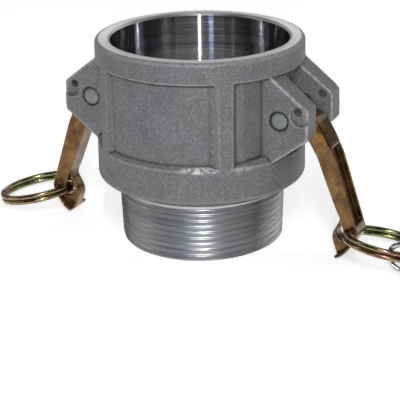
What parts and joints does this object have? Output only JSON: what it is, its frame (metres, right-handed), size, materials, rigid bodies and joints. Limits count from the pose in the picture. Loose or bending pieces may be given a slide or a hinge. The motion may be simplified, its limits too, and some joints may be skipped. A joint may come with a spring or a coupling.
{
  "type": "cam and groove coupler",
  "caption": "Cam and groove hose coupler: female socket with cam arms, pull rings and safety clips over a male tapered pipe thread.",
  "frame": {"origin": "on the axis of the waterway, at the end face of the male thread", "axes": "+Z along the axis from the thread up to the socket; +X to the arm on the right of the picture, whose ring carries the safety clips; the arm pivots run along Y"},
  "size_m": [0.2147, 0.0758, 0.075],
  "materials": {
    "casting": "shot-blasted casting, bore and thread machined bright",
    "seal": "moulded black rubber",
    "pin_steel": "zinc plated, slightly green",
    "arm_brass": "cast brass, brown",
    "ring_steel": "yellow zinc plated wire",
    "clip_steel": "bright wire"
  },
  "bodies": {
    "coupler_body": {"body": "casting", "gasket": "seal", "pivot_pin_left": "pin_steel", "pivot_pin_right": "pin_steel"},
    "arm_right": {"cam_arm_right": "arm_brass"},
    "arm_left": {"cam_arm_left": "arm_brass"},
    "ring_right": {"pull_ring_right": "ring_steel"},
    "ring_left": {"pull_ring_left": "ring_steel"},
    "clip_front": {"safety_clip_front": "clip_steel"},
    "clip_rear": {"safety_clip_rear": "clip_steel"}
  },
  "joints": [
    {"name": "arm_right_pivot", "type": "hinge", "parent": "coupler_body", "child": "arm_right", "pos_m": [0.0368, 0, 0.0521], "axis": [0, -1, 0], "range_deg": [-10, 95]},
    {"name": "arm_left_pivot", "type": "hinge", "parent": "coupler_body", "child": "arm_left", "pos_m": [-0.0368, 0, 0.0521], "axis": [0, 1, 0], "range_deg": [-10, 95]},
    {"name": "ring_right_swing", "type": "hinge", "parent": "arm_right", "child": "ring_right", "pos_m": [0.05702, 0, 0.00875], "axis": [0, -1, 0], "range_deg": [-95, 60]},
    {"name": "ring_left_swing", "type": "hinge", "parent": "arm_left", "child": "ring_left", "pos_m": [-0.05702, 0, 0.00875], "axis": [0, 1, 0], "range_deg": [-95, 60]},
    {"name": "clip_front_swing", "type": "hinge", "parent": "ring_right", "child": "clip_front", "pos_m": [0.08137, -0.01156, 0.00802], "axis": [-0.0175, -0.9998, 0], "range_deg": [-30, 30]},
    {"name": "clip_rear_swing", "type": "hinge", "parent": "ring_right", "child": "clip_rear", "pos_m": [0.08497, -0.00734, 0.00614], "axis": [0.0349, -0.9994, 0], "range_deg": [-30, 30]}
  ]
}
